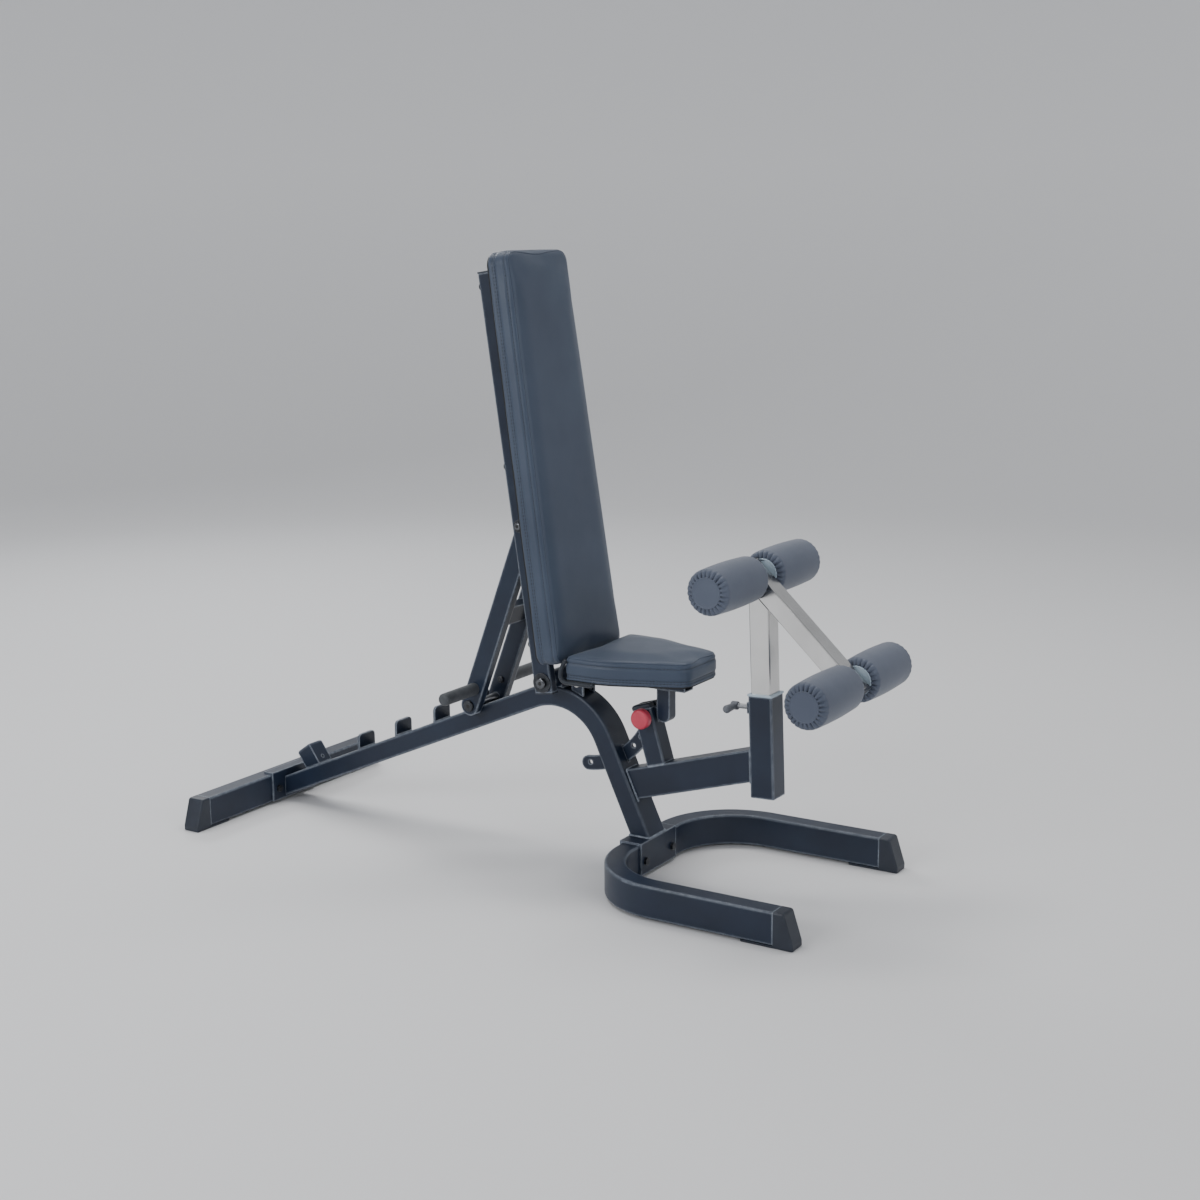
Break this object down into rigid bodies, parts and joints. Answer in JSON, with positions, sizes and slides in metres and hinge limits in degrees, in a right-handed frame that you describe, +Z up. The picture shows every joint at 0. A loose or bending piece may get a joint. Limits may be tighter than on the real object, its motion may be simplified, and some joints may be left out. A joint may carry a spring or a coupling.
{
  "type": "adjustable weight bench",
  "caption": "Adjustable weight bench: reclining padded back on a laddered strut, tilting seat, U-shaped base and a padded leg hold-down on a telescoping post.",
  "frame": {"origin": "middle of the footprint, on the floor", "axes": "+Z up, +X towards the foot end with the leg hold-down, +Y to the left of a sitting person"},
  "size_m": [1.759, 0.734, 1.4692],
  "materials": {
    "frame_paint": "satin black powder coat",
    "chrome": "bright chrome plate",
    "pad_vinyl": "black vinyl upholstery",
    "roller_vinyl": "dark grey vinyl over foam",
    "plywood": "plywood board, dark covered back",
    "black_plastic": "black moulded plastic",
    "pale_plastic": "pale grey moulded plastic",
    "red_plastic": "red moulded plastic",
    "grip_rubber": "dark grey rubber",
    "black_zinc": "black zinc plated steel",
    "zinc": "zinc plated steel"
  },
  "bodies": {
    "frame": {"back_hinge_tube": "frame_paint", "base_end_caps": "black_plastic", "base_u_tube": "frame_paint", "crossbar_end_caps": "black_plastic", "front_beam": "frame_paint", "front_saddle_bracket": "frame_paint", "ladder_catch_1": "frame_paint", "ladder_catch_2": "frame_paint", "ladder_catch_3": "frame_paint", "ladder_catch_4": "frame_paint", "ladder_stop_block": "frame_paint", "pop_pin_housing": "frame_paint", "rear_crossbar": "frame_paint", "rear_saddle_bracket": "frame_paint", "receiver_boss": "frame_paint", "receiver_liner": "pale_plastic", "receiver_tube": "frame_paint", "saddle_bolts": "black_zinc", "seat_hinge_lugs": "frame_paint", "seat_hinge_pin": "chrome", "seat_post": "frame_paint", "seat_post_cap": "black_plastic", "spine_tube": "frame_paint"},
    "backrest": {"back_rail_left": "frame_paint", "back_rail_right": "frame_paint", "back_rail_caps": "black_plastic", "back_hinge_shaft": "zinc", "back_hinge_bolts": "chrome", "pivot_washers": "black_zinc", "back_cross_plates": "frame_paint", "back_board": "plywood", "back_pad": "pad_vinyl", "back_pad_bolts": "black_zinc", "strut_pivot_bolts": "chrome"},
    "strut": {"strut_leg_left": "frame_paint", "strut_leg_right": "frame_paint", "strut_cross_member": "frame_paint", "catch_rod": "zinc", "catch_rod_bolts": "black_zinc", "handle_grips": "grip_rubber", "grip_bolts": "black_zinc"},
    "seat": {"seat_frame": "frame_paint", "seat_hinge_sleeve": "frame_paint", "seat_hanger": "frame_paint", "seat_arc_plate": "frame_paint", "seat_board": "plywood", "seat_pad": "pad_vinyl", "seat_bolts": "black_zinc"},
    "pop_pin": {"pop_pin_plunger": "zinc", "pop_pin_knob": "red_plastic"},
    "holddown": {"holddown_post": "chrome", "holddown_arm": "chrome", "arm_end_plugs": "black_plastic", "roller_axles": "chrome"},
    "lock_handle": {"lock_screw": "zinc", "lock_grip": "grip_rubber"},
    "roller_lower_left": {"roller_lower_left": "roller_vinyl"},
    "roller_lower_right": {"roller_lower_right": "roller_vinyl"},
    "roller_upper_left": {"roller_upper_left": "roller_vinyl"},
    "roller_upper_right": {"roller_upper_right": "roller_vinyl"}
  },
  "joints": [
    {"name": "back_recline", "type": "hinge", "parent": "frame", "child": "backrest", "pos_m": [0.0695, 0, 0.45], "axis": [0, -1, 0], "range_deg": [0, 81.8]},
    {"name": "strut_swing", "type": "hinge", "parent": "backrest", "child": "strut", "pos_m": [0.01149, 0, 0.82456], "axis": [0, 1, 0], "range_deg": [0, 111.6]},
    {"name": "seat_tilt", "type": "hinge", "parent": "frame", "child": "seat", "pos_m": [0.1245, 0, 0.44], "axis": [0, -1, 0], "range_deg": [0, 9.3]},
    {"name": "pop_pin_pull", "type": "slide", "parent": "frame", "child": "pop_pin", "axis": [0, -1, 0], "range_m": [0, 0.011], "stiffness_N_per_m": 600, "springref_m": -0.004},
    {"name": "holddown_height", "type": "slide", "parent": "frame", "child": "holddown", "axis": [-0.0349, 0, 0.9994], "range_m": [-0.05, 0.1]},
    {"name": "lock_handle_turn", "type": "hinge", "parent": "frame", "child": "lock_handle", "pos_m": [0.55735, 0, 0.43478], "axis": [0.9994, 0, 0.0349], "range_deg": [0, 360]},
    {"name": "roller_lower_left_spin", "type": "hinge", "parent": "holddown", "child": "roller_lower_left", "pos_m": [0.8255, 0.134, 0.52], "axis": [0, 1, 0], "continuous": true},
    {"name": "roller_lower_right_spin", "type": "hinge", "parent": "holddown", "child": "roller_lower_right", "pos_m": [0.8255, -0.134, 0.52], "axis": [0, 1, 0], "continuous": true},
    {"name": "roller_upper_left_spin", "type": "hinge", "parent": "holddown", "child": "roller_upper_left", "pos_m": [0.5905, 0.134, 0.742], "axis": [0, 1, 0], "continuous": true},
    {"name": "roller_upper_right_spin", "type": "hinge", "parent": "holddown", "child": "roller_upper_right", "pos_m": [0.5905, -0.134, 0.742], "axis": [0, 1, 0], "continuous": true}
  ],
  "couplings": [
    {"joint": "strut_swing", "follows": "back_recline", "ratio": 1.3641}
  ]
}
